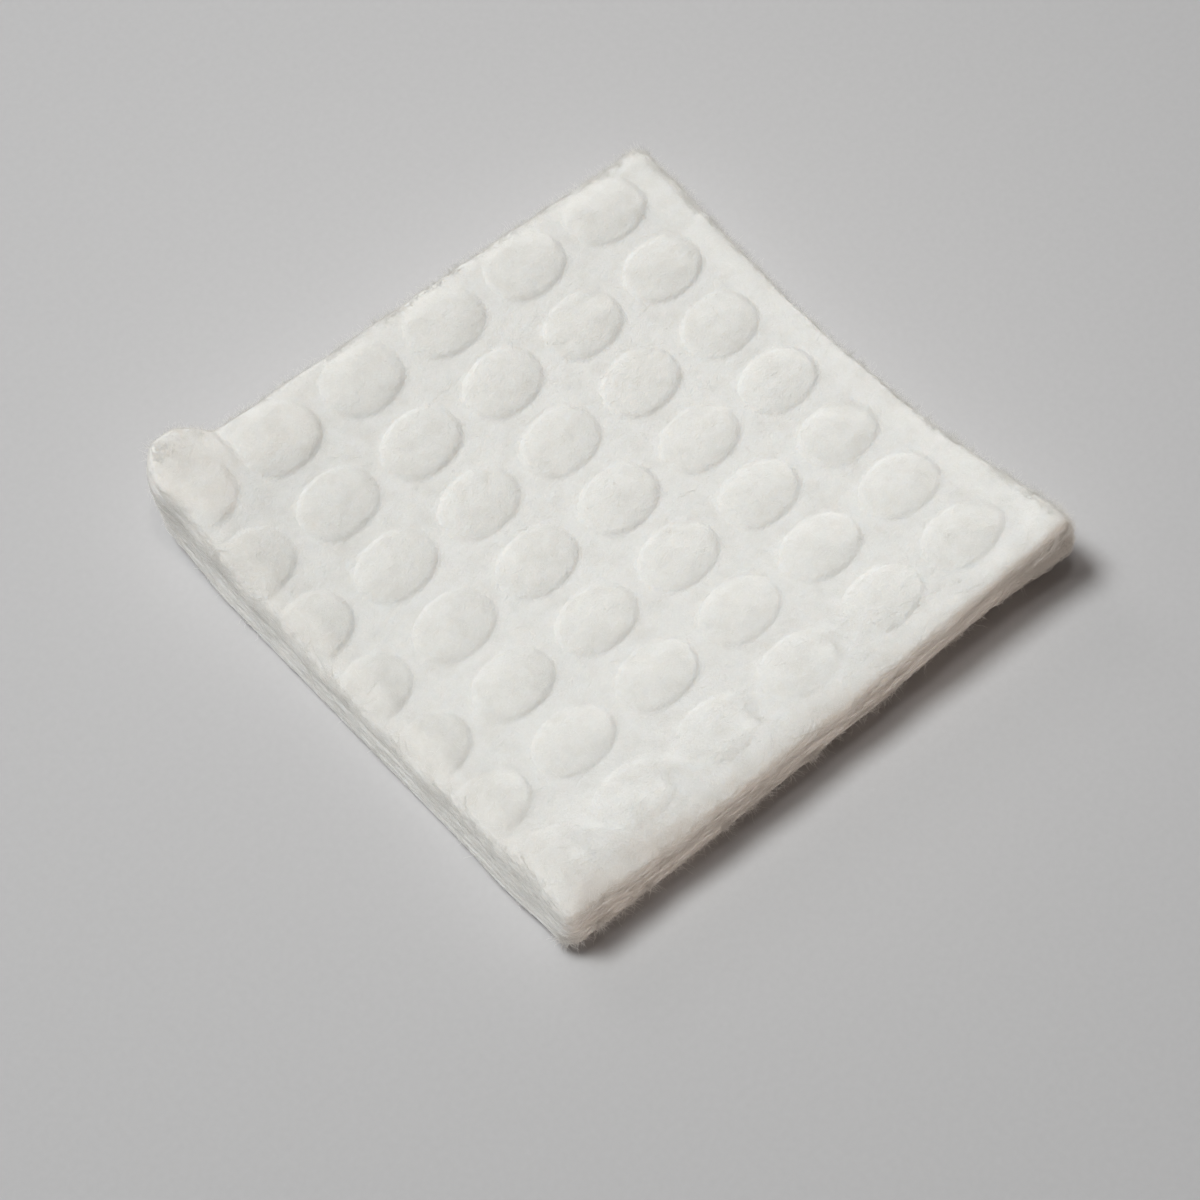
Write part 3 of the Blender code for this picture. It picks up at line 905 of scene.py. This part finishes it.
# felt all over, and strands along the sides that follow the flat pad's layers, with painted shade
# between the strands, inside the pillows and on the rounded shoulders
def makeCotton():
    material, nodes, links, shader = newMaterial("cottonWool")
    shader.inputs["Roughness"].default_value = cotton["roughness"]
    shader.inputs["Specular IOR Level"].default_value = cotton["shine"]
    shader.inputs["Subsurface Weight"].default_value = cotton["scatterShare"]
    shader.inputs["Subsurface Radius"].default_value = cotton["scatterColours"]
    shader.inputs["Subsurface Scale"].default_value = cotton["scatter"]
    coords = nodes.new("ShaderNodeTexCoord")
    felt = noiseNode(nodes, cotton["feltScale"], 4)
    cloud = noiseNode(nodes, cotton["cloudScale"], 3)
    flat = attributeNode(nodes, "flatPlace")
    wall = attributeNode(nodes, "wall")
    stretch = nodes.new("ShaderNodeMapping")
    stretch.inputs["Scale"].default_value = cotton["strandScale"]
    strands = noiseNode(nodes, 1, 4)
    strands.inputs["Distortion"].default_value = cotton["strandBend"]
    links.new(coords.outputs["Object"], felt.inputs["Vector"])
    links.new(coords.outputs["Object"], cloud.inputs["Vector"])
    links.new(flat.outputs["Vector"], stretch.inputs["Vector"])
    links.new(stretch.outputs["Vector"], strands.inputs["Vector"])

    clouded = nodes.new("ShaderNodeMix")
    clouded.data_type = "RGBA"
    clouded.inputs["A"].default_value = cotton["dark"]
    clouded.inputs["B"].default_value = cotton["light"]
    links.new(cloud.outputs["Fac"], clouded.inputs["Factor"])
    # painted shade in the hollows between the strands on the sides
    shade = rangeNode(nodes, cotton["strandShade"])
    onWall = nodes.new("ShaderNodeMath")
    onWall.operation = "MULTIPLY"
    streaked = nodes.new("ShaderNodeMix")
    streaked.data_type = "RGBA"
    streaked.inputs["B"].default_value = cotton["strandDark"]
    links.new(strands.outputs["Fac"], shade.inputs["Value"])
    links.new(shade.outputs["Result"], onWall.inputs[0])
    links.new(wall.outputs["Fac"], onWall.inputs[1])
    links.new(onWall.outputs["Value"], streaked.inputs["Factor"])
    # painted shade inside the pillows
    pillowShade = attributeNode(nodes, "pillowShade")
    pillowShaded = tintNode(nodes, links, pillowShade.outputs["Fac"], clouded.outputs["Result"],
                      cotton["pillowShadeTint"])
    patches = noiseNode(nodes, cotton["patchScale"], 3)
    links.new(coords.outputs["Object"], patches.inputs["Vector"])
    patchEdge = rangeNode(nodes, cotton["patchEdge"])
    links.new(patches.outputs["Fac"], patchEdge.inputs["Value"])
    patched = tintNode(nodes, links, patchEdge.outputs["Result"], pillowShaded, cotton["patchDull"])
    # painted shade on the face's rounded shoulders
    paintedShoulderShade = attributeNode(nodes, "paintedShoulderShade")
    rubbedAndShaded = tintNode(nodes, links, paintedShoulderShade.outputs["Fac"], patched, cotton["shoulderShadeTint"])
    felted = tintNode(nodes, links, felt.outputs["Fac"], rubbedAndShaded, cotton["feltDark"])
    links.new(felted, streaked.inputs["A"])
    links.new(streaked.outputs["Result"], shader.inputs["Base Color"])

    cloudBump = bumpNode(nodes, cotton["bumpStrength"], cotton["cloudHeight"])
    feltBump = bumpNode(nodes, cotton["bumpStrength"], cotton["feltHeight"])
    strandBump = bumpNode(nodes, 1.0, cotton["strandHeight"])
    links.new(cloud.outputs["Fac"], cloudBump.inputs["Height"])
    links.new(felt.outputs["Fac"], feltBump.inputs["Height"])
    links.new(strands.outputs["Fac"], strandBump.inputs["Height"])
    links.new(wall.outputs["Fac"], strandBump.inputs["Strength"])
    links.new(cloudBump.outputs["Normal"], feltBump.inputs["Normal"])
    links.new(feltBump.outputs["Normal"], strandBump.inputs["Normal"])
    links.new(strandBump.outputs["Normal"], shader.inputs["Normal"])
    return material


def makeFibre():
    material, nodes, links, shader = newMaterial("looseFibre")
    shader.inputs["Base Color"].default_value = cotton["fibre"]
    shader.inputs["Roughness"].default_value = cotton["fibreRoughness"]
    shader.inputs["Specular IOR Level"].default_value = cotton["fibreShine"]
    through = nodes.new("ShaderNodeBsdfTranslucent")
    through.inputs["Color"].default_value = cotton["fibre"]
    both = nodes.new("ShaderNodeMixShader")
    both.inputs["Fac"].default_value = cotton["throughShare"]
    links.new(shader.outputs["BSDF"], both.inputs[1])
    links.new(through.outputs["BSDF"], both.inputs[2])
    links.new(both.outputs["Shader"], nodes["Material Output"].inputs["Surface"])
    return material


def makeTable():
    material, nodes, links, shader = newMaterial("paleTable")
    shader.inputs["Roughness"].default_value = studio["tableRoughness"]
    shader.inputs["Specular IOR Level"].default_value = studio["tableShine"]
    coords = nodes.new("ShaderNodeTexCoord")
    speckle = noiseNode(nodes, studio["tableGrain"], 3)
    colour = nodes.new("ShaderNodeMix")
    colour.data_type = "RGBA"
    colour.inputs["A"].default_value = studio["tableDark"]
    colour.inputs["B"].default_value = studio["tableLight"]
    bump = bumpNode(nodes, studio["tableBump"], studio["tableLumps"])
    links.new(coords.outputs["Object"], speckle.inputs["Vector"])
    links.new(speckle.outputs["Fac"], colour.inputs["Factor"])
    links.new(speckle.outputs["Fac"], bump.inputs["Height"])
    links.new(colour.outputs["Result"], shader.inputs["Base Color"])
    links.new(bump.outputs["Normal"], shader.inputs["Normal"])
    return material


cottonPad.data.materials.append(makeCotton())
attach(cottonPad, "root")
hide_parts("cotton_pad")
looseFibre = makeFibre()
for piece in fibrePieces:
    piece.data.materials.append(looseFibre)
    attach(piece, "root")
    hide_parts("cotton_pad")
print("cotton and fibre materials on", 1 + len(fibrePieces), "pieces")

# The table, the lamps and the camera. Turns are in degrees round from looking along +Y.
view = {
    "turn": -41.13,
    "height": 58.66,
    "distance": 422.1 * mm,
    "lookAt": (-4.468 * mm, -3.783 * mm, 0),
    "lens": 136.9,
}
studio = {
    "tableSize": 1.6,
    "tableLight": (0.632, 0.622, 0.63, 1),
    "tableDark": (0.59, 0.58, 0.588, 1),
    "tableRoughness": 0.85,
    "tableShine": 0.1,
    "tableGrain": 1500,  # lumps to a metre
    "tableBump": 0.15,
    "tableLumps": 0.05 * mm,
    "sky": (1.0, 0.72, 0.6, 1),
    "skyStrength": 0.035,
    "lamps": {
        "keyLamp": {"turn": -98, "height": 66, "distance": 1.2, "size": 0.44, "power": 10.5,
                    "colour": (0.965, 1.0, 0.995)},
        # three lamps as low as the pad's rims, so that they light its sides and not its face
        "sideLamp": {"turn": -50, "height": 0.35, "distance": 0.6, "size": 0.008, "power": 0.62,
                     "colour": (1.0, 0.99, 0.98)},
        "lowLamp": {"turn": 41, "height": 0.35, "distance": 0.6, "size": 0.008, "power": 1.05,
                    "colour": (1.0, 0.83, 0.71)},
        "rimLamp": {"turn": 160, "height": 0.35, "distance": 0.6, "size": 0.008, "power": 1.6,
                    "colour": (1.0, 0.99, 0.97)},
        "backLamp": {"turn": -140, "height": 35, "distance": 0.7, "size": 0.3, "power": 0.5,
                     "colour": (1.0, 0.96, 0.95)},
    },
    # a spot from above, whose cone fades towards the picture's corners
    "spot": {"turn": 180, "height": 88.5, "distance": 0.6, "radius": 0.06, "cone": 16, "power": 2.9,
             "colour": (1.0, 0.97, 0.93), "lookAt": (9 * mm, 11 * mm, 0)},
}

tableMesh = bmesh.new()
bmesh.ops.create_grid(tableMesh, x_segments=8, y_segments=8, size=studio["tableSize"] / 2)
table = addPiece("table", meshFrom("table", tableMesh))
tableMesh.free()
table.data.materials.append(makeTable())


# unit direction from the pad towards a camera or lamp
def towards(turn, height):
    turn, height = math.radians(turn), math.radians(height)
    flat = math.cos(height)
    return Vector((math.sin(turn) * flat, -math.cos(turn) * flat, math.sin(height)))


def aim(holder, target, direction, distance):
    holder.location = Vector(target) + direction * distance
    holder.rotation_euler = (-direction).to_track_quat("-Z", "Y").to_euler()
    bpy.context.scene.collection.objects.link(holder)


def hangLamp(lamp, words):
    lamp.energy = words["power"]
    lamp.color = words["colour"]
    direction = towards(view["turn"] + words["turn"], words["height"])
    holder = bpy.data.objects.new(lamp.name, lamp)
    aim(holder, words.get("lookAt", (0, 0, 0)), direction, words["distance"])


for name, words in studio["lamps"].items():
    softLamp = bpy.data.lights.new(name, "AREA")
    softLamp.shape = "DISK"
    softLamp.size = words["size"]
    hangLamp(softLamp, words)

spot = bpy.data.lights.new("spot", "SPOT")
spot.shadow_soft_size = studio["spot"]["radius"]
spot.spot_size = math.radians(studio["spot"]["cone"])
spot.spot_blend = 1.0
hangLamp(spot, studio["spot"])

world = bpy.data.worlds.new("studio")
world.use_nodes = True
world.node_tree.nodes["Background"].inputs["Color"].default_value = studio["sky"]
world.node_tree.nodes["Background"].inputs["Strength"].default_value = studio["skyStrength"]
bpy.context.scene.world = world

cameraData = bpy.data.cameras.new("camera")
cameraData.sensor_width = 36
cameraData.lens = view["lens"]
camera = bpy.data.objects.new("camera", cameraData)
aim(camera, view["lookAt"], towards(view["turn"], view["height"]), view["distance"])
bpy.context.scene.camera = camera
bpy.context.scene.view_settings.view_transform = "Standard"
print("camera and", len(studio["lamps"]) + 1, "lamps in place")
